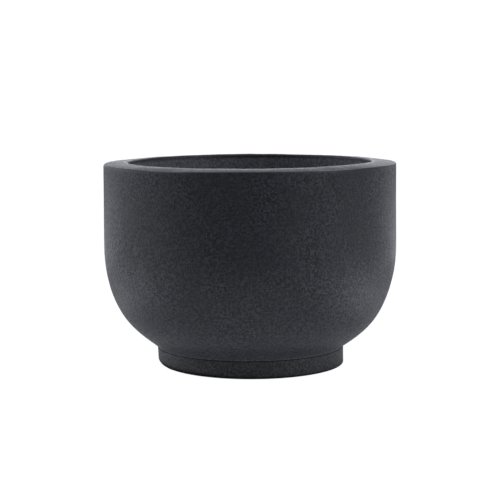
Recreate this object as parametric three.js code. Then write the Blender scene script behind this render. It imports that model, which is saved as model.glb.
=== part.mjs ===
// A turned stone molcajete: a thick-walled bowl bonded on a ring foot, with its tejolote (the
// hand stone) lying inside. Millimetres, +Z up, origin at the centre of the foot's underside.

import * as THREE from 'three';

// Bowl
const BOWL_R = 90; // outside of the upright wall
const HEIGHT = 125.8; // surface to the crest of the rim
const WALL = 14.9; // upright wall, outside to cavity
const BELLY_TOP_Z = 74.5; // here the belly runs into the upright wall
const BELLY_TOP_PULL = 44.6; // how long the belly keeps close to upright
const BELLY_FOOT_PULL = 10.3; // how long it keeps close to its angle at the foot
const BELLY_FOOT_DEG = 37; // the belly's rise where it leaves the foot
const RIM_SLOPE_DEG = 7.4; // the rim's top falls outward
const RIM_OUTER_EDGE_R = 1;
const RIM_INNER_EDGE_R = 3; // the rim's crest is straight above this rounding's centre

// Cavity: a half ball with a short bore above it
const CAVITY_R = BOWL_R - WALL;
const CAVITY_CENTRE_Z = 104;

// Foot ring, flush with the bowl's neck
const FOOT_R = 57.7;
const FOOT_BORE_R = 43;
const FOOT_H = 10.8;
const FOOT_EDGE_R = 2; // roundings where the foot meets the surface
const FOOT_BORE_EDGE_R = 1;
const SEAM_CHAMFER = 0.2; // on both stones, along the outside of the joint

// Bond between the stones, and the spigot that centres the foot ring
const BOND_T = 0.3;
const BOND_INSET = 0.5;
const NECK_H = 0.6; // the bowl's straight neck above the joint
const SPIGOT_R = FOOT_BORE_R - 0.4;
const SPIGOT_H = 1.6;

// Tejolote, measured along its own axis from the grinding face
const TEJOLOTE_L = 115;
const FACE_R = 70; // crown of the grinding face
const HEAD_R = 28;
const HEAD_EDGE_R = 8;
const WAIST_R = 17.2;
const WAIST_AT = 76;
const KNOB_R = 18.8;
const TEJOLOTE_TURN_DEG = 24; // how its axis lies in plan
const SEAT_GAP = 0.3; // clearance to the cavity where it rests

// Fineness: pieces in a whole turn, and steps along each stretch of a profile
const BOWL_SEGMENTS = 64;
const TEJOLOTE_SEGMENTS = 40;
const STEPS = { belly: 13, rimOuter: 3, rimCrest: 1, rimInner: 4, cavity: 16, footEdge: 3 };
const HAND_STEPS = { face: 5, headEdge: 5, grip: 9, neck: 5, knob: 7 };
const SAME_POINT = 1e-6;

const NECK_Z = FOOT_H + BOND_T;
const rad = THREE.MathUtils.degToRad;
const at = (r, z) => new THREE.Vector2(r, z);

// Points of an arc in the half plane (r, z), angles from the outward direction
function arc(centre, radius, fromDeg, toDeg, steps) {
  return Array.from({ length: steps + 1 }, (_, i) => {
    const a = rad(fromDeg + ((toDeg - fromDeg) * i) / steps);
    return at(centre.x + radius * Math.cos(a), centre.y + radius * Math.sin(a));
  });
}

// Points of a curve that leaves `from` and reaches `to` along the two pulls
function sweep(from, fromPull, to, toPull, steps) {
  const first = from.clone().add(fromPull);
  const second = to.clone().sub(toPull);
  return new THREE.CubicBezierCurve(from, first, second, to).getPoints(steps);
}

// Turns a profile, listed counter-clockwise, about +Z
function turned(name, profile, segments, material) {
  const points = profile.filter((p, i) => i === 0 || p.distanceTo(profile[i - 1]) > SAME_POINT);
  const geometry = new THREE.LatheGeometry(points, segments);
  geometry.rotateX(Math.PI / 2);
  const mesh = new THREE.Mesh(geometry, material);
  mesh.name = name;
  return mesh;
}

function stone(color, roughness) {
  return new THREE.MeshStandardMaterial({ color, roughness, metalness: 0 });
}

// The rim's sloping top touches both edge roundings, which fixes the height of the outer one
function rim() {
  const slope = 90 - RIM_SLOPE_DEG;
  const inner = at(CAVITY_R + RIM_INNER_EDGE_R, HEIGHT - RIM_INNER_EDGE_R);
  const outerR = BOWL_R - RIM_OUTER_EDGE_R;
  const run = (outerR - inner.x) * Math.cos(rad(slope));
  const outerZ = inner.y - (run + RIM_OUTER_EDGE_R - RIM_INNER_EDGE_R) / Math.sin(rad(slope));
  return [
    ...arc(at(outerR, outerZ), RIM_OUTER_EDGE_R, 0, slope, STEPS.rimOuter),
    ...arc(inner, RIM_INNER_EDGE_R, slope, 90, STEPS.rimCrest),
    ...arc(inner, RIM_INNER_EDGE_R, 90, 180, STEPS.rimInner),
  ];
}

function mortarBowl() {
  const bellyFoot = at(FOOT_R, NECK_Z + NECK_H);
  const bellyTop = at(BOWL_R, BELLY_TOP_Z);
  const rise = rad(BELLY_FOOT_DEG);
  const footPull = at(BELLY_FOOT_PULL * Math.cos(rise), BELLY_FOOT_PULL * Math.sin(rise));
  const profile = [
    at(0, NECK_Z - SPIGOT_H),
    at(SPIGOT_R, NECK_Z - SPIGOT_H),
    at(SPIGOT_R, NECK_Z),
    at(FOOT_R - SEAM_CHAMFER, NECK_Z),
    at(FOOT_R, NECK_Z + SEAM_CHAMFER),
    ...sweep(bellyFoot, footPull, bellyTop, at(0, BELLY_TOP_PULL), STEPS.belly),
    ...rim(),
    ...arc(at(0, CAVITY_CENTRE_Z), CAVITY_R, 0, -90, STEPS.cavity),
  ];
  profile.at(-1).x = 0;
  return turned('mortar_bowl', profile, BOWL_SEGMENTS, stone('#34363c', 0.62));
}

function footRing() {
  const outer = at(FOOT_R - FOOT_EDGE_R, FOOT_EDGE_R);
  const bore = at(FOOT_BORE_R + FOOT_BORE_EDGE_R, FOOT_BORE_EDGE_R);
  const underside = [
    ...arc(bore, FOOT_BORE_EDGE_R, 180, 270, STEPS.footEdge),
    ...arc(outer, FOOT_EDGE_R, -90, 0, STEPS.footEdge),
  ];
  const profile = [
    ...underside,
    at(FOOT_R, FOOT_H - SEAM_CHAMFER),
    at(FOOT_R - SEAM_CHAMFER, FOOT_H),
    at(FOOT_BORE_R, FOOT_H),
    underside[0],
  ];
  return turned('foot_ring', profile, BOWL_SEGMENTS, stone('#313338', 0.68));
}

function footBond() {
  const inside = FOOT_BORE_R + BOND_INSET;
  const outside = FOOT_R - BOND_INSET;
  const profile = [
    at(inside, FOOT_H),
    at(outside, FOOT_H),
    at(outside, NECK_Z),
    at(inside, NECK_Z),
    at(inside, FOOT_H),
  ];
  return turned('foot_bond', profile, BOWL_SEGMENTS, stone('#151617', 0.55));
}

// Centre of the head's edge rounding, which touches the crowned face and the side
function headEdge() {
  const r = HEAD_R - HEAD_EDGE_R;
  return at(r, FACE_R - Math.sqrt((FACE_R - HEAD_EDGE_R) ** 2 - r ** 2));
}

function tejoloteProfile() {
  const edge = headEdge();
  const knob = at(0, TEJOLOTE_L - KNOB_R);
  const crown = THREE.MathUtils.radToDeg(Math.asin(edge.x / (FACE_R - HEAD_EDGE_R)));
  const waist = at(WAIST_R, WAIST_AT);
  const toWaist = (WAIST_AT - edge.y) / 2;
  const toKnob = (knob.y - WAIST_AT) / 2;
  const profile = [
    ...arc(at(0, FACE_R), FACE_R, -90, crown - 90, HAND_STEPS.face),
    ...arc(edge, HEAD_EDGE_R, crown - 90, 0, HAND_STEPS.headEdge),
    ...sweep(at(HEAD_R, edge.y), at(0, toWaist), waist, at(0, toWaist), HAND_STEPS.grip),
    ...sweep(waist, at(0, toKnob), at(KNOB_R, knob.y), at(0, toKnob), HAND_STEPS.neck),
    ...arc(knob, KNOB_R, 0, 90, HAND_STEPS.knob),
  ];
  profile[0].x = 0;
  profile.at(-1).x = 0;
  return profile;
}

// Height of the centre of mass of a turned profile, from the cones between its points
function balanceHeight(profile) {
  let volume = 0;
  let moment = 0;
  for (let i = 1; i < profile.length; i += 1) {
    const a = profile[i - 1];
    const b = profile[i];
    const h = b.y - a.y;
    volume += h * (a.x ** 2 + a.x * b.x + b.x ** 2);
    const toB = (a.x ** 2 + 2 * a.x * b.x + 3 * b.x ** 2) / 4;
    moment += h * (a.y * (a.x ** 2 + a.x * b.x + b.x ** 2) + h * toB);
  }
  return moment / volume;
}

// The cavity's centre as the lying tejolote sees it: `off` its axis and `along` it. The head's
// edge and the knob both touch a ball that is smaller than the cavity by the gap.
function seat() {
  const edge = headEdge();
  const knob = at(0, TEJOLOTE_L - KNOB_R);
  const toEdge = CAVITY_R - SEAT_GAP - HEAD_EDGE_R;
  const toKnob = CAVITY_R - SEAT_GAP - KNOB_R;
  const span = knob.distanceTo(edge);
  const split = (span ** 2 + toEdge ** 2 - toKnob ** 2) / (2 * span);
  const side = Math.sqrt(toEdge ** 2 - split ** 2);
  const unit = knob.clone().sub(edge).divideScalar(span);
  return {
    off: -(edge.x + unit.x * split - unit.y * side),
    along: edge.y + unit.y * split + unit.x * side,
  };
}

// Free to roll about the cavity's centre, the tejolote comes to rest with its weight under it
function tejolote() {
  const profile = tejoloteProfile();
  const centre = seat();
  const mesh = turned('tejolote', profile, TEJOLOTE_SEGMENTS, stone('#383a3f', 0.66));
  mesh.position.set(centre.off, 0, -centre.along);
  const lean = new THREE.Group();
  lean.position.z = CAVITY_CENTRE_Z;
  lean.rotation.y = Math.atan2(centre.off, centre.along - balanceHeight(profile));
  lean.add(mesh);
  const turn = new THREE.Group();
  turn.rotation.z = rad(TEJOLOTE_TURN_DEG);
  turn.add(lean);
  return turn;
}

const molcajete = new THREE.Group();
molcajete.name = 'molcajete';
molcajete.add(mortarBowl(), footRing(), footBond(), tejolote());

export default molcajete;
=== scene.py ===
"""Looks of the turned stone molcajete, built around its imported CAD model.

The scene is in metres, +Z up, in the frame of the CAD model. Profiles and the sizes they are
drawn from are in millimetres until turned_mesh makes a mesh of them.
"""

import math

import bpy
import numpy as np
from mathutils import Matrix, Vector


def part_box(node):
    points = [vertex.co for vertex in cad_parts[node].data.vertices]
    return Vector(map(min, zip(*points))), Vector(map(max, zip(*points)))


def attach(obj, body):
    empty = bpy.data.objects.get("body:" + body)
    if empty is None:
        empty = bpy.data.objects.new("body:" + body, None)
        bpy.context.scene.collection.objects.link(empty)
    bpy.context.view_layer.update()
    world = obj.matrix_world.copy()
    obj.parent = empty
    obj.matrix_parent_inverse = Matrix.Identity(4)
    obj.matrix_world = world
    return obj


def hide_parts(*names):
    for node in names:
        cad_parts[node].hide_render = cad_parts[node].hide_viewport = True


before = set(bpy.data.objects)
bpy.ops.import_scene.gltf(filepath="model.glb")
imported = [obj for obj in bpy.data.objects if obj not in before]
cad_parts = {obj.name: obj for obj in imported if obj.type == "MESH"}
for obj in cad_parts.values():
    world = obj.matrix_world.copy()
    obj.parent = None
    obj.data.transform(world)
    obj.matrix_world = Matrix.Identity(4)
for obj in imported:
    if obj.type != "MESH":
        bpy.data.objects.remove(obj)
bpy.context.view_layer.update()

MM = 0.001

# ---------------------------------------------------------------- sizes from the CAD model, mm
bowl_low, bowl_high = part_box("mortar_bowl")
ring_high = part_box("foot_ring")[1]
bond_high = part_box("foot_bond")[1]

BOWL_R = bowl_high.x / MM
HEIGHT = bowl_high.z / MM
FOOT_R = ring_high.x / MM
FOOT_H = ring_high.z / MM
NECK_Z = bond_high.z / MM
BOND_R = bond_high.x / MM
SPIGOT_Z = bowl_low.z / MM

# ---------------------------------------------------------------- the design's other sizes, mm
WALL_MM = 14.9
CAVITY_CENTRE_Z_MM = 104.0
NECK_H_MM = 0.6
BELLY_TOP_Z_MM = 74.5
BELLY_TOP_PULL_MM = 44.6
BELLY_FOOT_PULL_MM = 10.3
BELLY_FOOT_RISE = math.radians(37)
RIM_SLOPE = math.radians(5.7)
RIM_LESS_SLOPE_LEFT, RIM_LESS_SLOPE_RIGHT = math.radians(1.8), math.radians(0.9)
RIM_MORE_SLOPE_CORNERS = math.radians(3.0)
RIM_DIP_FRONT_MM, RIM_DIP_FRONT_LEFT_MM = 0.2, 0.22
RIM_INNER_EDGE_FRONT_MM, RIM_INNER_EDGE_ELSEWHERE_MM = 3.0, 1.4
RIM_CROWN_MM = 0.26
RIM_EDGE_LEFT_MM, RIM_EDGE_RIGHT_MM = 1.9, 0.8
FOOT_BORE_R_MM = 43.0
FOOT_BORE_EDGE_MM = 1.0
FOOT_EDGE_LEFT_MM, FOOT_EDGE_RIGHT_MM = 4.2, 0.8
FOOT_FLARE_MM = 0.45
SPIGOT_GAP_MM = 0.4
SEAM_EDGE_MM = 0.2
BOND_INSET_MM = 0.5

TEJOLOTE_L_MM = 115.0
FACE_R_MM = 70.0
HEAD_R_MM = 28.0
HEAD_EDGE_MM = 8.0
WAIST_R_MM = 17.2
WAIST_AT_MM = 76.0
KNOB_R_MM = 18.8
TEJOLOTE_TURN = math.radians(24)
SEAT_GAP_MM = 0.3

CAVITY_R_MM = BOWL_R - WALL_MM
GRINDING_TOP_Z_MM = 82.0
GRINDING_FADE_MM = 34.0

# ---------------------------------------------------------------- hand finish
# Where the rim's slope and height change, in degrees round the bowl (0 is right, 270 the front),
# and how far each change reaches
RIM_CORNER_LEFT_DEG, RIM_CORNER_RIGHT_DEG, RIM_CORNER_REACH_DEG = 235, 304, 12
RIM_SIDE_REACH_DEG = 30
RIM_DIP_DEG, RIM_DIP_REACH_DEG = 225, 22

WALL_FULLER_MM = 0.2
WALL_FULLER_AT_Z_MM, WALL_FULLER_REACH_MM = 85, 28
BELLY_FULLER_RIGHT_MM = 0.45
BELLY_FULLER_AT_Z_MM, BELLY_FULLER_REACH_MM = 28, 13
BELLY_FLATTER_LEFT_MM = 0.35
BELLY_FLATTER_AT_Z_MM, BELLY_FLATTER_REACH_MM = 18, 8
BELLY_SIDE_POWER = 6
NECK_STILL_MM = 4
FLARE_FADE_MM = 5
TEJOLOTE_INSET_MM = 0.12

# How every surface wanders from a true turning: millimetres, length of its features, seed
BOWL_WANDER = ((0.16, 75, 11), (0.05, 22, 12), (0.018, 7, 13))
RING_WANDER = ((0.06, 40, 21), (0.03, 9, 22))
BOND_WANDER = ((0.08, 9, 31),)
TEJOLOTE_WANDER = ((0.10, 45, 41), (0.04, 14, 42), (0.015, 5, 43))

BOWL_SEGMENTS = 320
TEJOLOTE_SEGMENTS = 144


# ---------------------------------------------------------------- profiles
# A profile is an array (segments, points, 2) of radius and height, so that it can change on the
# way round. Its pieces run counter-clockwise, with the stone on their left.

def azimuths(segments):
    return np.arange(segments) * (2 * math.pi / segments)


def line(r0, z0, r1, z1, steps):
    """Points from (r0, z0) up to, but without, (r1, z1). Any of them may be an array."""
    t = np.linspace(0, 1, steps, endpoint=False)
    r0, z0, r1, z1 = (np.asarray(v, float)[..., None] for v in (r0, z0, r1, z1))
    return np.stack(np.broadcast_arrays(r0 + (r1 - r0) * t, z0 + (z1 - z0) * t), axis=-1)


def arc(r, z, radius, start, end, steps):
    """Points of an arc about (r, z), without its end. Any of the numbers may be an array."""
    t = np.linspace(0, 1, steps, endpoint=False)
    r, z, radius, start, end = (np.asarray(v, float)[..., None] for v in (r, z, radius, start, end))
    a = start + (end - start) * t
    return np.stack(np.broadcast_arrays(r + radius * np.cos(a), z + radius * np.sin(a)), axis=-1)


def sweep(start, start_pull, end, end_pull, steps):
    """Points of a curve that leaves start and reaches end along the two pulls, without its end."""
    p0, p3 = np.array(start, float), np.array(end, float)
    p1, p2 = p0 + np.array(start_pull), p3 - np.array(end_pull)
    t = np.linspace(0, 1, steps, endpoint=False)[:, None]
    s = 1 - t
    return s**3 * p0 + 3 * s * s * t * p1 + 3 * s * t * t * p2 + t**3 * p3


def joined(segments, *pieces):
    """The pieces end to end, spread to one profile for each segment."""
    spread = [np.broadcast_to(p, (segments,) + p.shape[-2:]) for p in pieces]
    return np.concatenate(spread, axis=1)


def turned_points(profile):
    """Points (segments, points, 3) of a profile turned about +Z."""
    a = azimuths(len(profile))[:, None]
    r, z = profile[..., 0], profile[..., 1]
    return np.stack([r * np.cos(a), r * np.sin(a), z], axis=-1)


# ---------------------------------------------------------------- hand finish
def waves(points, length, seed, count=14):
    """Smooth wander over the points, about -1 to 1, with features of that length."""
    rng = np.random.default_rng(seed)
    directions = rng.normal(size=(count, 3))
    directions /= np.linalg.norm(directions, axis=1)[:, None]
    pace = 2 * math.pi / length * rng.uniform(0.7, 1.4, count)
    phase = rng.uniform(0, 2 * math.pi, count)
    total = np.zeros(points.shape[:-1])
    for d, k, p in zip(directions, pace, phase):
        total += np.cos(points @ d * k + p)
    return total / math.sqrt(count)


def wander(points, rows):
    """Sum of the waves that the rows (millimetres, length, seed) describe."""
    return sum(amount * waves(points, length, seed) for amount, length, seed in rows)


def normals(points, closed):
    """Outward normals of turned points, from the differences along and round the surface."""
    round_it = np.roll(points, -1, 0) - np.roll(points, 1, 0)
    if closed:
        along = np.roll(points, -1, 1) - np.roll(points, 1, 1)
    else:
        along = np.gradient(points, axis=1)
    n = np.cross(round_it, along)
    size = np.linalg.norm(n, axis=-1, keepdims=True)
    return n / np.maximum(size, 1e-12)


def bump_at(value, centre, width):
    """1 at the centre, falling off smoothly within about the width."""
    return np.exp(-(((value - centre) / width) ** 2))


def toward(a, degrees, reach):
    """1 at that azimuth, falling off within about reach degrees. 0 is right, 270 the front."""
    away = (np.degrees(a) - degrees + 180) % 360 - 180
    return bump_at(away, 0, reach)


def leftward(a, power=2):
    """1 on the left of the object, fading to 0 at its front and back."""
    return np.clip(-np.cos(a), 0, 1) ** power


def rightward(a, power):
    """1 on the right of the object, fading to 0 at its front and back."""
    return np.clip(np.cos(a), 0, 1) ** power


def outward(a, distance):
    """Steps of those distances away from the axis."""
    return np.stack([distance * np.cos(a), distance * np.sin(a), 0 * distance], axis=-1)


# ---------------------------------------------------------------- meshes
def turned_mesh(name, points, closed, marks):
    """A mesh of turned points in millimetres. An open profile starts and ends on the axis; a
    closed one runs back into itself. marks are named values of the points for the materials."""
    segments, count = points.shape[:2]
    if closed:
        grid = np.arange(segments * count).reshape(segments, count)
        vertices = points.reshape(-1, 3)
        values = {k: v.reshape(-1) for k, v in marks.items()}
    else:
        inner = points[:, 1:-1]
        ends = np.stack([points[:, 0].mean(0), points[:, -1].mean(0)])
        vertices = np.concatenate([inner.reshape(-1, 3), ends])
        grid = np.arange(segments * (count - 2)).reshape(segments, count - 2)
        values = {
            k: np.concatenate([v[:, 1:-1].reshape(-1), [v[:, 0].mean(), v[:, -1].mean()]])
            for k, v in marks.items()
        }
    following = np.roll(grid, -1, 0)
    if closed:
        up, up_following = np.roll(grid, -1, 1), np.roll(following, -1, 1)
        quads = np.stack([grid, following, up_following, up], -1).reshape(-1, 4)
        faces = quads.tolist()
    else:
        quads = np.stack([grid[:, :-1], following[:, :-1], following[:, 1:], grid[:, 1:]], -1)
        faces = quads.reshape(-1, 4).tolist()
        low, high = len(vertices) - 2, len(vertices) - 1
        faces += [[low, b, a] for a, b in zip(grid[:, 0].tolist(), following[:, 0].tolist())]
        faces += [[high, a, b] for a, b in zip(grid[:, -1].tolist(), following[:, -1].tolist())]
    mesh = bpy.data.meshes.new(name)
    mesh.from_pydata((vertices * MM).tolist(), [], faces)
    mesh.polygons.foreach_set("use_smooth", [True] * len(mesh.polygons))
    for key, value in values.items():
        attribute = mesh.attributes.new(key, "FLOAT", "POINT")
        attribute.data.foreach_set("value", value.astype(np.float32))
    mesh.validate()
    mesh.update()
    piece = bpy.data.objects.new(name, mesh)
    bpy.context.scene.collection.objects.link(piece)
    return piece


def dress(piece, material, body, node):
    piece.data.materials.append(material)
    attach(piece, body)
    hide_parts(node)
    return piece


# ---------------------------------------------------------------- the bowl
def rim_profile(inner_edge, outer_edge, fall, dip):
    """The slightly crowned top of the rim runs from one edge rounding to the other. The roundings,
    the fall of the top and how far the rim dips vary on the way round."""
    slope = math.pi / 2 - fall
    inner_r = CAVITY_R_MM + inner_edge
    inner_z = HEIGHT - dip - inner_edge
    outer_r = BOWL_R - outer_edge
    run = (outer_r - inner_r) * np.cos(slope)
    outer_z = inner_z - (run + outer_edge - inner_edge) / np.sin(slope)
    top_steps = 12
    wall = line(BOWL_R, BELLY_TOP_Z_MM, BOWL_R, outer_z, 26)
    outer = arc(outer_r, outer_z, outer_edge, 0, slope, 9)
    last = outer_r + outer_edge * np.cos(slope), outer_z + outer_edge * np.sin(slope)
    first = inner_r + inner_edge * np.cos(slope), inner_z + inner_edge * np.sin(slope)
    top = line(*last, *first, top_steps)
    t = np.linspace(0, 1, top_steps, endpoint=False)
    top[..., 1] += RIM_CROWN_MM * 4 * t * (1 - t)
    inner = arc(inner_r, inner_z, inner_edge, slope, math.pi, 12)
    bore = line(CAVITY_R_MM, inner_z, CAVITY_R_MM, CAVITY_CENTRE_Z_MM, 11)
    return wall, outer, top, inner, bore


def bowl_profile():
    a = azimuths(BOWL_SEGMENTS)
    leftness = ((1 - np.cos(a)) / 2) ** 2
    outer_edge = RIM_EDGE_RIGHT_MM + (RIM_EDGE_LEFT_MM - RIM_EDGE_RIGHT_MM) * leftness
    corners = toward(a, RIM_CORNER_LEFT_DEG, RIM_CORNER_REACH_DEG)
    corners = corners + toward(a, RIM_CORNER_RIGHT_DEG, RIM_CORNER_REACH_DEG)
    fall = RIM_SLOPE + RIM_MORE_SLOPE_CORNERS * corners
    fall = fall - RIM_LESS_SLOPE_LEFT * toward(a, 180, RIM_SIDE_REACH_DEG)
    fall = fall - RIM_LESS_SLOPE_RIGHT * toward(a, 0, RIM_SIDE_REACH_DEG)
    frontness = np.clip(-np.sin(a), 0, 1) ** 2
    front_left = toward(a, RIM_DIP_DEG, RIM_DIP_REACH_DEG)
    dip = RIM_DIP_FRONT_MM * frontness + RIM_DIP_FRONT_LEFT_MM * front_left
    more_edge = RIM_INNER_EDGE_FRONT_MM - RIM_INNER_EDGE_ELSEWHERE_MM
    inner_edge = RIM_INNER_EDGE_ELSEWHERE_MM + more_edge * frontness
    spigot_r = FOOT_BORE_R_MM - SPIGOT_GAP_MM
    neck_top = NECK_Z + NECK_H_MM
    foot_pull = (
        BELLY_FOOT_PULL_MM * math.cos(BELLY_FOOT_RISE),
        BELLY_FOOT_PULL_MM * math.sin(BELLY_FOOT_RISE),
    )
    edge = SEAM_EDGE_MM
    return joined(
        BOWL_SEGMENTS,
        line(0, SPIGOT_Z, spigot_r - edge, SPIGOT_Z, 12),
        arc(spigot_r - edge, SPIGOT_Z + edge, edge, -math.pi / 2, 0, 4),
        line(spigot_r, SPIGOT_Z + edge, spigot_r, NECK_Z, 2),
        line(spigot_r, NECK_Z, FOOT_R - edge, NECK_Z, 6),
        arc(FOOT_R - edge, NECK_Z + edge, edge, -math.pi / 2, 0, 5),
        line(FOOT_R, NECK_Z + edge, FOOT_R, neck_top, 3),
        sweep((FOOT_R, neck_top), foot_pull, (BOWL_R, BELLY_TOP_Z_MM), (0, BELLY_TOP_PULL_MM), 62),
        *rim_profile(inner_edge, outer_edge, fall, dip),
        arc(0, CAVITY_CENTRE_Z_MM, CAVITY_R_MM, 0, -math.pi / 2, 72),
        np.array([[0.0, CAVITY_CENTRE_Z_MM - CAVITY_R_MM]]),
    )


def make_bowl():
    profile = bowl_profile()
    points = turned_points(profile)
    r, z = profile[..., 0], profile[..., 1]
    a = azimuths(BOWL_SEGMENTS)[:, None]
    beyond_neck = r > FOOT_R + 0.5
    free = 1 - np.exp(-np.clip(z - NECK_Z - NECK_H_MM, 0, None) / NECK_STILL_MM)
    push = wander(points, BOWL_WANDER)
    # the wall is a little fuller at half height
    fuller = bump_at(z, WALL_FULLER_AT_Z_MM, WALL_FULLER_REACH_MM)
    push = push + WALL_FULLER_MM * fuller * (r > BOWL_R - 2)
    # the right of the lower belly stands out a little, and the left is cut a little flatter
    right = bump_at(z, BELLY_FULLER_AT_Z_MM, BELLY_FULLER_REACH_MM)
    right = right * rightward(a, BELLY_SIDE_POWER)
    left = bump_at(z, BELLY_FLATTER_AT_Z_MM, BELLY_FLATTER_REACH_MM)
    left = left * leftward(a, BELLY_SIDE_POWER)
    push = push + BELLY_FULLER_RIGHT_MM * right * beyond_neck
    push = push - BELLY_FLATTER_LEFT_MM * left * beyond_neck
    # the neck follows the foot ring's flare
    above_neck = np.clip(z - NECK_Z, 0, None)
    flare = FOOT_FLARE_MM * leftward(a) * np.exp(-above_neck / FLARE_FADE_MM) * (r > FOOT_R - 1)
    points = points + normals(points, False) * (push * free)[..., None] + outward(a, flare)
    marks = {
        # the rim's edges are paler: wear, and a painted highlight
        "edge_wear_and_highlight": rim_wear_and_highlight(r, z),
        "rim": rim_mark(r, z),
        # the pale raw stone of the cavity, and painted light in the corner above the foot
        "raw_stone_and_painted_light": raw_stone_and_painted_light_mark(r, z),
        "grinding": grinding_mark(r, z),
    }
    return turned_mesh("mortar_bowl_stone", points, False, marks)


def rim_wear_and_highlight(r, z):
    """1 along the rim's inner edge and 0.6 along its outer, falling off within about two mm. The
    stone is paler there: partly wear, partly a painted highlight where the edges catch the light.
    """
    inner_in, outer_in = 0.6, 0.3
    inner = np.hypot(r - CAVITY_R_MM - inner_in, z - HEIGHT + inner_in)
    outer_z = HEIGHT - WALL_MM * math.tan(RIM_SLOPE)
    outer = np.hypot(r - BOWL_R + outer_in, z - outer_z + outer_in)
    return np.maximum(bump_at(inner, 0, 1.2), 0.6 * bump_at(outer, 0, 1.0))


def rim_mark(r, z):
    """1 on the rim's top, which is polished smoother than the rest, and 0 elsewhere."""
    return np.clip((z - HEIGHT + 3.5) / 1.5, 0, 1) * np.clip((r - CAVITY_R_MM) / 1.5, 0, 1)


def in_cavity(r, z):
    """Whether a point of the bowl is on the cavity's wall or on the rim's inner rounding."""
    below = np.clip(CAVITY_CENTRE_Z_MM - z, 0, None)
    return np.hypot(r, below) < CAVITY_R_MM + RIM_INNER_EDGE_FRONT_MM


def raw_stone_and_painted_light_mark(r, z):
    """How far the stone is paler and rougher than the honed outside: 1 in the cavity, left as it
    was ground, and a little in the corner above the foot, where the paleness is painted light that
    lifts the crease's shade."""
    edge = RIM_INNER_EDGE_ELSEWHERE_MM
    cavity = np.clip((HEIGHT - edge - z) / edge, 0, 1) * in_cavity(r, z)
    # painted light: the corner above the foot is made paler where shade falls
    corner = 0.3 * bump_at(z, NECK_Z, 4.5) * (r > FOOT_R - 1)
    return cavity + corner


def grinding_mark(r, z):
    """1 at the cavity's floor, where the tejolote works, fading out up its wall."""
    return np.clip((GRINDING_TOP_Z_MM - z) / GRINDING_FADE_MM, 0, 1) * in_cavity(r, z)


# ---------------------------------------------------------------- the foot and the bond
def make_ring():
    bore, seam = FOOT_BORE_R_MM, SEAM_EDGE_MM
    edge = FOOT_BORE_EDGE_MM
    rightness = (1 + np.cos(azimuths(BOWL_SEGMENTS))) / 2
    outer = FOOT_EDGE_LEFT_MM + (FOOT_EDGE_RIGHT_MM - FOOT_EDGE_LEFT_MM) * rightness
    profile = joined(
        BOWL_SEGMENTS,
        arc(bore + edge, edge, edge, math.pi, 1.5 * math.pi, 6),
        line(bore + edge, 0, FOOT_R - outer, 0, 8),
        arc(FOOT_R - outer, outer, outer, -math.pi / 2, 0, 9),
        line(FOOT_R, outer, FOOT_R, FOOT_H - seam, 8),
        arc(FOOT_R - seam, FOOT_H - seam, seam, 0, math.pi / 2, 4),
        line(FOOT_R - seam, FOOT_H, bore + seam, FOOT_H, 8),
        arc(bore + seam, FOOT_H - seam, seam, math.pi / 2, math.pi, 4),
        line(bore, FOOT_H - seam, bore, edge, 8),
    )
    points = turned_points(profile)
    r, z = profile[..., 0], profile[..., 1]
    a = azimuths(BOWL_SEGMENTS)[:, None]
    # the flat faces stay true, and only the outer half of the ring flares
    side = (np.abs(z - FOOT_H / 2) < FOOT_H / 2 - 0.3).astype(float)
    flare = FOOT_FLARE_MM * leftward(a) * z / FOOT_H * (r > FOOT_BORE_R_MM + 6)
    push = wander(points, RING_WANDER) * side
    points = points + normals(points, True) * push[..., None] + outward(a, flare)
    wear = bump_at(np.hypot(r - FOOT_R + 0.4, z - 0.4), 0, 1.2)
    return turned_mesh("foot_ring_stone", points, True, {"edge_wear_and_highlight": wear})


def make_bond():
    inside, outside = FOOT_BORE_R_MM + BOND_INSET_MM, BOND_R
    a = azimuths(BOWL_SEGMENTS)
    seam = np.stack([np.cos(a), np.sin(a), 0 * a], -1) * FOOT_R
    creep = outside + wander(seam, BOND_WANDER)
    middle, half = (FOOT_H + NECK_Z) / 2, (NECK_Z - FOOT_H) / 2
    profile = joined(
        BOWL_SEGMENTS,
        line(inside, FOOT_H, creep - half, FOOT_H, 4),
        arc(creep - half, middle, half, -math.pi / 2, math.pi / 2, 6),
        line(creep - half, NECK_Z, inside, NECK_Z, 4),
        line(inside, NECK_Z, inside, FOOT_H, 1),
    )
    return turned_mesh("foot_bond_bead", turned_points(profile), True, {})


# ---------------------------------------------------------------- the tejolote
def head_edge():
    """Centre of the head's edge rounding, which touches the crowned face and the side."""
    r = HEAD_R_MM - HEAD_EDGE_MM
    return np.array([r, FACE_R_MM - math.sqrt((FACE_R_MM - HEAD_EDGE_MM) ** 2 - r * r)])


def tejolote_profile():
    edge = head_edge()
    knob_z = TEJOLOTE_L_MM - KNOB_R_MM
    crown = math.asin(edge[0] / (FACE_R_MM - HEAD_EDGE_MM))
    to_waist = (0, (WAIST_AT_MM - edge[1]) / 2)
    to_knob = (0, (knob_z - WAIST_AT_MM) / 2)
    return np.concatenate([
        arc(0, FACE_R_MM, FACE_R_MM, -math.pi / 2, crown - math.pi / 2, 16),
        arc(edge[0], edge[1], HEAD_EDGE_MM, crown - math.pi / 2, 0, 12),
        sweep((HEAD_R_MM, edge[1]), to_waist, (WAIST_R_MM, WAIST_AT_MM), to_waist, 44),
        sweep((WAIST_R_MM, WAIST_AT_MM), to_knob, (KNOB_R_MM, knob_z), to_knob, 14),
        arc(0, knob_z, KNOB_R_MM, 0, math.pi / 2, 20),
        np.array([[0.0, TEJOLOTE_L_MM]]),
    ])


def balance_height(profile):
    """Height of the centre of mass of a turned profile, from the cones between its points."""
    a, b = profile[:-1], profile[1:]
    h = b[:, 1] - a[:, 1]
    square = a[:, 0] ** 2 + a[:, 0] * b[:, 0] + b[:, 0] ** 2
    to_b = (a[:, 0] ** 2 + 2 * a[:, 0] * b[:, 0] + 3 * b[:, 0] ** 2) / 4
    return (h * (a[:, 1] * square + h * to_b)).sum() / (h * square).sum()


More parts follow.
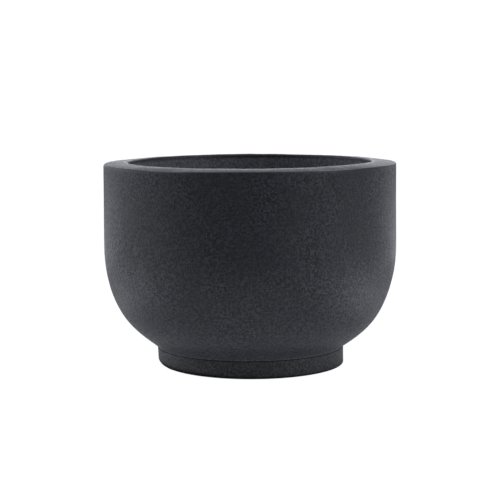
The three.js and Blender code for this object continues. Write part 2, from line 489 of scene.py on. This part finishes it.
def seat():
    """How far the cavity's centre lies off the tejolote's axis, and how far along it: the head's
    edge and the knob both touch a ball that is smaller than the cavity by the gap."""
    edge = head_edge()
    knob = np.array([0.0, TEJOLOTE_L_MM - KNOB_R_MM])
    to_edge = CAVITY_R_MM - SEAT_GAP_MM - HEAD_EDGE_MM
    to_knob = CAVITY_R_MM - SEAT_GAP_MM - KNOB_R_MM
    span = np.linalg.norm(knob - edge)
    unit = (knob - edge) / span
    split = (span**2 + to_edge**2 - to_knob**2) / (2 * span)
    side = math.sqrt(to_edge**2 - split**2)
    off = -(edge[0] + unit[0] * split - unit[1] * side)
    return off, edge[1] + unit[1] * split + unit[0] * side


def make_tejolote():
    outline = tejolote_profile()
    off, along = seat()
    profile = joined(TEJOLOTE_SEGMENTS, outline)
    points = turned_points(profile)
    r, s = profile[..., 0], profile[..., 1]
    push = (wander(points, TEJOLOTE_WANDER) - TEJOLOTE_INSET_MM) * (r > 0.01)
    points = points + normals(points, False) * push[..., None]
    # the head's edge is worn, and the face is dulled by grinding
    wear = 0.7 * bump_at(np.hypot(r - HEAD_R_MM + 3, s - 5), 0, 3.5)
    grinding = np.clip((7 - s) / 4, 0, 1)
    piece = turned_mesh("tejolote_stone", points, False, {"edge_wear_and_highlight": wear, "grinding": grinding})
    lean = math.atan2(off, along - balance_height(outline))
    centre = Matrix.Translation((0, 0, CAVITY_CENTRE_Z_MM * MM))
    turn = Matrix.Rotation(TEJOLOTE_TURN, 4, "Z") @ Matrix.Rotation(lean, 4, "Y")
    piece.data.transform(centre @ turn @ Matrix.Translation((off * MM, 0, -along * MM)))
    return piece


# ---------------------------------------------------------------- materials
BUMP_MM = 0.08

# Noise in the stone: features per millimetre, detail
CLOUDS = (0.03, 3.0)
CALM_PATCHES = (0.035, 2.0)
MOTTLE = (0.3, 2.0)
GRAIN = (0.8, 3.0)

# Grains: cells per millimetre, share of them that is filled, and size within the cell
LIGHT_GRAINS = (0.7, 0.24, 0.5)
DARK_GRAINS = (0.6, 0.28, 0.5)
SPARKS = (0.4, 0.012, 0.2)
PORES = (0.16, 0.25, 0.09)

# Brightness of the stone's parts, against the stone's own
DARKEST, LIGHTEST = 0.05, 2.3
# Worn edges are paler; on the rim that paleness is also a painted highlight
LIGHT_GRAIN, WORN_FACE, WORN_EDGE_AND_HIGHLIGHT = 3.2, 3.2, 2.4
CLOUDED, MOTTLED, PORE = 0.45, 0.4, 0.15
# The cavity's pale raw stone, also used as painted light in the corner above the foot
PALE_DARKEST, PALE_LIGHTEST = 4.2, 9.5
SPARK_LEVEL = 0.14

BOWL_STONE = {"level": 0.026, "roughness": 0.5, "offset": 0.0, "marks": ("rim", "raw_stone_and_painted_light", "grinding")}
FOOT_STONE = {"level": 0.024, "roughness": 0.52, "offset": 37.0, "tint": 0.4}
TEJOLOTE_STONE = {"level": 0.04, "roughness": 0.55, "offset": 71.0, "marks": ("grinding",)}


class Nodes:
    """Short names for the shader nodes that the materials use."""

    def __init__(self, tree):
        self.tree = tree
        tree.nodes.clear()

    def new(self, kind, **inputs):
        node = self.tree.nodes.new(kind)
        for key, value in inputs.items():
            self.set(node, key, value)
        return node

    def set(self, node, key, value):
        socket = node.inputs[key.replace("_", " ")]
        if isinstance(value, bpy.types.NodeSocket):
            self.tree.links.new(value, socket)
        else:
            socket.default_value = value

    def math(self, operation, a, b=0.0):
        node = self.tree.nodes.new("ShaderNodeMath")
        node.operation = operation
        for socket, value in zip(node.inputs, (a, b)):
            if isinstance(value, bpy.types.NodeSocket):
                self.tree.links.new(value, socket)
            else:
                socket.default_value = value
        return node.outputs[0]

    def ramp(self, value, low, high, to_low=0.0, to_high=1.0):
        """value from low..high to to_low..to_high, smoothly, and held at both ends."""
        node = self.tree.nodes.new("ShaderNodeMapRange")
        node.interpolation_type = "SMOOTHSTEP"
        keys = ("Value", "From Min", "From Max", "To Min", "To Max")
        for key, x in zip(keys, (value, low, high, to_low, to_high)):
            self.set(node, key, x)
        return node.outputs["Result"]

    def mix(self, factor, a, b):
        node = self.tree.nodes.new("ShaderNodeMix")
        node.data_type = "RGBA"
        for index, value in ((0, factor), (6, a), (7, b)):
            if isinstance(value, bpy.types.NodeSocket):
                self.tree.links.new(value, node.inputs[index])
            else:
                node.inputs[index].default_value = value
        return node.outputs[2]

    def blend(self, kind, a, b, factor=None):
        """Two shaders added together, or mixed by the factor."""
        if kind == "ADD":
            node = self.tree.nodes.new("ShaderNodeAddShader")
        else:
            node = self.tree.nodes.new("ShaderNodeMixShader")
            self.tree.links.new(factor, node.inputs[0])
        self.tree.links.new(a, node.inputs[-2])
        self.tree.links.new(b, node.inputs[-1])
        return node.outputs[0]

    def noise(self, where, per_mm, detail=2.0, roughness=0.55):
        node = self.new("ShaderNodeTexNoise", Vector=where, Scale=per_mm, Detail=detail)
        self.set(node, "Roughness", roughness)
        return node.outputs["Fac"]

    def cells(self, where, per_mm):
        """Distance to the nearest grain's centre, in grains, and a random value for each grain."""
        node = self.new("ShaderNodeTexVoronoi", Vector=where, Scale=per_mm)
        split = self.new("ShaderNodeSeparateColor", Color=node.outputs["Color"])
        return node.outputs["Distance"], split.outputs[0]

    def mark(self, name):
        """A value that the mesh carries in each of its points."""
        node = self.tree.nodes.new("ShaderNodeAttribute")
        node.attribute_name = name
        return node.outputs["Fac"]

    def surface(self, color, rough, height, strength):
        """The material's output: a dielectric surface with that height as a fine bump."""
        bump = self.new("ShaderNodeBump", Height=height, Strength=strength, Distance=BUMP_MM * MM)
        shader = self.new("ShaderNodeBsdfPrincipled", Base_Color=color, Roughness=rough)
        self.set(shader, "Normal", bump.outputs["Normal"])
        shader.inputs["IOR"].default_value = 1.5
        self.new("ShaderNodeOutputMaterial", Surface=shader.outputs["BSDF"])


def new_material(name):
    material = bpy.data.materials.new(name)
    material.use_nodes = True
    return material, Nodes(material.node_tree)


def cool(level, tint=1.0):
    """The stone's bluish grey of that brightness; tint 0 is neutral."""
    return (level * (1 - 0.05 * tint), level, level * (1 + 0.2 * tint), 1.0)


def millimetres(n, offset=0.0):
    """Where a point lies on the piece, in millimetres, shifted so that no two stones are alike."""
    where = n.new("ShaderNodeTexCoord").outputs["Object"]
    mapping = n.new("ShaderNodeMapping", Vector=where, Scale=(1 / MM,) * 3, Location=(offset,) * 3)
    return mapping.outputs["Vector"]


def grains(n, where, per_mm, share, size):
    """1 inside the given share of the cells, fading out by the distance size from the middle."""
    distance, random = n.cells(where, per_mm)
    chosen = n.math("GREATER_THAN", random, 1 - share)
    return n.math("MULTIPLY", chosen, n.ramp(distance, size, size * 0.45))


def tool_rings(n, where):
    """Fine rings round the cavity, even along its wall from the axis to the rim."""
    axes = n.new("ShaderNodeSeparateXYZ", Vector=where)
    x, y, z = axes.outputs
    radius = n.math("SQRT", n.math("ADD", n.math("MULTIPLY", x, x), n.math("MULTIPLY", y, y)))
    down = n.math("SUBTRACT", CAVITY_CENTRE_Z_MM, z)
    along = n.math("MULTIPLY", n.math("ARCTAN2", radius, down), CAVITY_R_MM)
    round_it = n.math("MULTIPLY", n.math("ARCTAN2", y, x), 6.0)
    place = n.new("ShaderNodeCombineXYZ", X=along, Y=round_it)
    return n.noise(place.outputs["Vector"], 0.9, 3.0, 0.6)


def stone(name, level, roughness, offset, marks=(), tint=1.0):
    """Honed, finely speckled stone of that brightness and roughness, varied by the marks."""
    material, n = new_material(name)
    where = millimetres(n, offset)
    cloud = n.noise(where, *CLOUDS)
    mottle = n.noise(where, *MOTTLE)
    grain = n.noise(where, *GRAIN, roughness=0.6)
    light = grains(n, where, *LIGHT_GRAINS)
    dark = grains(n, where, *DARK_GRAINS)
    spark = grains(n, where, *SPARKS)
    pore = grains(n, where, *PORES)
    calm = n.ramp(n.noise(where, *CALM_PATCHES), 0.4, 0.6, 0.0, 0.4)

    # speckle, which is fainter in some patches
    darkest, lightest = cool(level * DARKEST, tint), cool(level * LIGHTEST, tint)
    color = n.mix(n.ramp(grain, 0.38, 0.62), darkest, lightest)
    color = n.mix(n.math("MULTIPLY", light, 0.55), color, cool(level * LIGHT_GRAIN, 0.7 * tint))
    color = n.mix(n.math("MULTIPLY", dark, 0.9), color, darkest)
    color = n.mix(calm, color, cool(level, tint))
    # large and small darker clouds, and rare crystals
    clouded, mottled = cool(level * CLOUDED, 2.2 * tint), cool(level * MOTTLED, tint)
    color = n.mix(n.ramp(cloud, 0.3, 0.7, 0.3, 0.0), color, clouded)
    color = n.mix(n.ramp(mottle, 0.35, 0.65, 0.35, 0.0), color, mottled)
    color = n.mix(n.math("MULTIPLY", spark, 0.6), color, cool(SPARK_LEVEL, 0.5))
    rough = n.ramp(grain, 0.3, 0.7, roughness + 0.1, roughness - 0.07)
    rough = n.math("SUBTRACT", rough, n.math("MULTIPLY", spark, 0.2))
    height = n.math("SUBTRACT", grain, n.math("MULTIPLY", dark, 0.6))
    # pale, rough raw stone in the cavity, and painted light in the corner above the foot
    if "raw_stone_and_painted_light" in marks:
        raw_stone_and_painted_light = n.mark("raw_stone_and_painted_light")
        darkest, lightest = cool(level * PALE_DARKEST, 0.4), cool(level * PALE_LIGHTEST, 0.4)
        pale = n.mix(n.ramp(grain, 0.34, 0.66), darkest, lightest)
        color = n.mix(n.math("MULTIPLY", raw_stone_and_painted_light, 0.9), color, pale)
        rough = n.math("ADD", rough, n.math("MULTIPLY", raw_stone_and_painted_light, 0.18))
        rings = n.math("MULTIPLY", tool_rings(n, where), raw_stone_and_painted_light)
        height = n.math("ADD", height, n.math("MULTIPLY", rings, 1.2))
    if "rim" in marks:
        rim = n.mark("rim")
        rough = n.math("SUBTRACT", rough, n.math("MULTIPLY", rim, 0.12))
        height = n.math("MULTIPLY", height, n.ramp(rim, 0.0, 1.0, 1.0, 0.4))
    if "grinding" in marks:
        worn = n.math("MULTIPLY", n.mark("grinding"), n.ramp(mottle, 0.3, 0.6, 0.6, 1.0))
        color = n.mix(n.math("MULTIPLY", worn, 0.35), color, cool(level * WORN_FACE, 0.4))
        rough = n.math("SUBTRACT", rough, n.math("MULTIPLY", worn, 0.12))
    # worn edges, which on the rim are also a painted highlight, then pores
    wear = n.mark("edge_wear_and_highlight")
    color = n.mix(n.math("MULTIPLY", wear, 0.35), color, cool(level * WORN_EDGE_AND_HIGHLIGHT))
    rough = n.math("SUBTRACT", rough, n.math("MULTIPLY", wear, 0.12))
    color = n.mix(pore, color, cool(level * PORE))
    height = n.math("SUBTRACT", height, n.math("MULTIPLY", pore, 4.0))
    n.surface(color, n.math("MAXIMUM", rough, 0.2), height, 0.6)
    return material


def adhesive():
    """The bond's dark resin, matt in patches."""
    material, n = new_material("bond_adhesive")
    patch = n.noise(millimetres(n), 0.4, 3.0)
    color = n.mix(n.ramp(patch, 0.35, 0.65), cool(0.006), cool(0.012, 0.3))
    n.surface(color, n.ramp(patch, 0.3, 0.7, 0.45, 0.7), patch, 0.4)
    return material


# ---------------------------------------------------------------- stage, light and camera
FLOOR_HALF = 6.0
FLOOR_BOUNCE = 0.4
FLOOR_SEEN = 0.985
FLOOR_SHADE = 0.1
BACKGROUND_LEVEL = 1.1
LIGHT_TINT = (0.98, 1.0, 1.08)
SOFTBOX_FLAT = 5

# Soft lights all round: degrees round from behind the object to the viewer's right, degrees up,
# degrees from their middle to where they have faded out, and level
SOFTBOXES = {
    "horizon": (0, 4, 16, 1.45),
    "back": (0, 20, 40, 0.33),
    "back_right": (35, 10, 40, 0.5),
    "back_left": (-35, 10, 40, 0.4),
    "left_back": (-65, 8, 35, 0.37),
    "left": (-90, 8, 45, 0.85),
    "right_front": (115, 15, 45, 0.92),
    "right_front_high": (130, 50, 45, 0.1),
    "high_right": (70, 45, 50, 0.15),
    "high_left": (-60, 45, 50, 0.15),
    "overhead": (0, 90, 55, 0.6),
}

# Pools of light on the table, which it throws up at the stone: metres to the right and to the
# back of the object's axis, radius, and level
POOLS = {
    "near": (0.0, 0.0, 0.09, 0.09),
    "under": (0.0, 0.0, 0.2, 0.4),
    "right": (0.3, 0.0, 0.16, 0.66),
    "right_near": (0.19, -0.06, 0.07, 0.85),
    "left": (-0.3, 0.0, 0.16, 1.04),
    "front": (0.0, -0.3, 0.16, 0.23),
    "front_right": (0.25, -0.25, 0.15, 0.5),
    "front_left": (-0.25, -0.25, 0.15, 0.4),
    "back": (0.0, 0.3, 0.16, 1.15),
    "back_right": (0.25, 0.55, 0.2, 1.48),
    "back_left": (-0.25, 0.55, 0.2, 0.86),
    "far_right": (0.6, 0.5, 0.3, 2.25),
    "far_left": (-0.6, 0.5, 0.3, 2.1),
}
POOL_EDGE = 0.3
CONTACT_SHADE_MM = 8.0


def make_floor():
    """A plain table. The viewer sees it nearly white; the stone sees its pools of light."""
    mesh = bpy.data.meshes.new("floor")
    h = FLOOR_HALF
    mesh.from_pydata([(-h, -h, 0), (h, -h, 0), (h, h, 0), (-h, h, 0)], [], [(0, 1, 2, 3)])
    floor = bpy.data.objects.new("floor", mesh)
    bpy.context.scene.collection.objects.link(floor)
    material, n = new_material("floor_pale")
    where = n.new("ShaderNodeNewGeometry").outputs["Position"]
    glow = 0.0
    for place in POOLS.values():
        glow = n.math("ADD", pool(n, where, *place), glow)
    glow = n.math("MULTIPLY", glow, unshaded(n, where))
    lamp = n.new("ShaderNodeEmission", Color=(*LIGHT_TINT, 1), Strength=glow)
    card = n.new("ShaderNodeBsdfDiffuse", Color=(FLOOR_BOUNCE,) * 3 + (1,))
    white = n.new("ShaderNodeEmission", Color=(1, 1, 1, 1), Strength=FLOOR_SEEN)
    shade = n.new("ShaderNodeBsdfDiffuse", Color=(FLOOR_SHADE,) * 3 + (1,))
    lit = n.blend("ADD", card.outputs[0], lamp.outputs[0])
    seen = n.blend("ADD", white.outputs[0], shade.outputs[0])
    eye = n.new("ShaderNodeLightPath").outputs["Is Camera Ray"]
    n.new("ShaderNodeOutputMaterial", Surface=n.blend("MIX", lit, seen, eye))
    floor.data.materials.append(material)


def pool(n, where, x, y, radius, level):
    """Brightness of one pool of light at that place on the floor."""
    distance = n.tree.nodes.new("ShaderNodeVectorMath")
    distance.operation = "DISTANCE"
    n.tree.links.new(where, distance.inputs[0])
    distance.inputs[1].default_value = (x, y, 0)
    inner, outer = radius * (1 - POOL_EDGE), radius * (1 + POOL_EDGE)
    return n.ramp(distance.outputs["Value"], inner, outer, level, 0.0)


def unshaded(n, where):
    """0 on the floor under the foot and 1 a few millimetres out from it."""
    distance = n.tree.nodes.new("ShaderNodeVectorMath")
    distance.operation = "LENGTH"
    n.tree.links.new(where, distance.inputs[0])
    return n.ramp(distance.outputs["Value"], FOOT_R * MM, (FOOT_R + CONTACT_SHADE_MM) * MM)


def softbox(n, way, azimuth, height, reach, level):
    """Brightness of one soft light along the way that a ray leaves."""
    a, e = math.radians(azimuth), math.radians(height)
    dot = n.tree.nodes.new("ShaderNodeVectorMath")
    dot.operation = "DOT_PRODUCT"
    n.tree.links.new(way, dot.inputs[0])
    flat = math.cos(e)
    dot.inputs[1].default_value = (math.sin(a) * flat, math.cos(a) * flat, math.sin(e))
    edge, middle = math.cos(math.radians(reach)), math.cos(math.radians(SOFTBOX_FLAT))
    return n.ramp(dot.outputs["Value"], edge, middle, 0.0, level)


def make_world():
    """A studio of soft lights behind, beside and above; the viewer sees it as plain white."""
    world = bpy.data.worlds.new("studio")
    world.use_nodes = True
    bpy.context.scene.world = world
    n = Nodes(world.node_tree)
    way = n.new("ShaderNodeTexCoord").outputs["Generated"]
    total = 0.0
    for place in SOFTBOXES.values():
        total = n.math("ADD", softbox(n, way, *place), total)
    tint = [n.math("MULTIPLY", total, part) for part in LIGHT_TINT]
    lights = n.new("ShaderNodeCombineColor", Red=tint[0], Green=tint[1], Blue=tint[2])
    eye = n.new("ShaderNodeLightPath").outputs["Is Camera Ray"]
    color = n.mix(eye, lights.outputs[0], (BACKGROUND_LEVEL,) * 3 + (1,))
    shader = n.new("ShaderNodeBackground", Color=color, Strength=1.0)
    n.new("ShaderNodeOutputWorld", Surface=shader.outputs["Background"])


# The photo's angle: from the front, a little above the rim
CAMERA_AT = (-0.00015, -0.90716, 0.17704)
CAMERA_DOWN = math.radians(6.715)
CAMERA_ROLL = math.radians(0.35)
CAMERA_LENS_MM = 105.81


def make_camera():
    camera = bpy.data.cameras.new("camera")
    camera.sensor_width = 36.0
    camera.lens = CAMERA_LENS_MM
    camera.clip_start, camera.clip_end = 0.05, 50.0
    view = bpy.data.objects.new("camera", camera)
    bpy.context.scene.collection.objects.link(view)
    level = Matrix.Rotation(math.pi / 2 - CAMERA_DOWN, 4, "X")
    roll = Matrix.Rotation(-CAMERA_ROLL, 4, "Z")
    view.matrix_world = Matrix.Translation(CAMERA_AT) @ (level @ roll)
    bpy.context.scene.camera = view


def main():
    scene = bpy.context.scene
    scene.view_settings.view_transform = "Standard"
    scene.view_settings.look = "None"
    make_camera()
    make_floor()
    make_world()
    bowl_stone = stone("bowl_stone_speckled", **BOWL_STONE)
    foot_stone = stone("foot_stone_speckled", **FOOT_STONE)
    hand_stone = stone("tejolote_stone_speckled", **TEJOLOTE_STONE)
    dress(make_bowl(), bowl_stone, "mortar", "mortar_bowl")
    dress(make_ring(), foot_stone, "mortar", "foot_ring")
    dress(make_bond(), adhesive(), "mortar", "foot_bond")
    dress(make_tejolote(), hand_stone, "tejolote", "tejolote")


main()
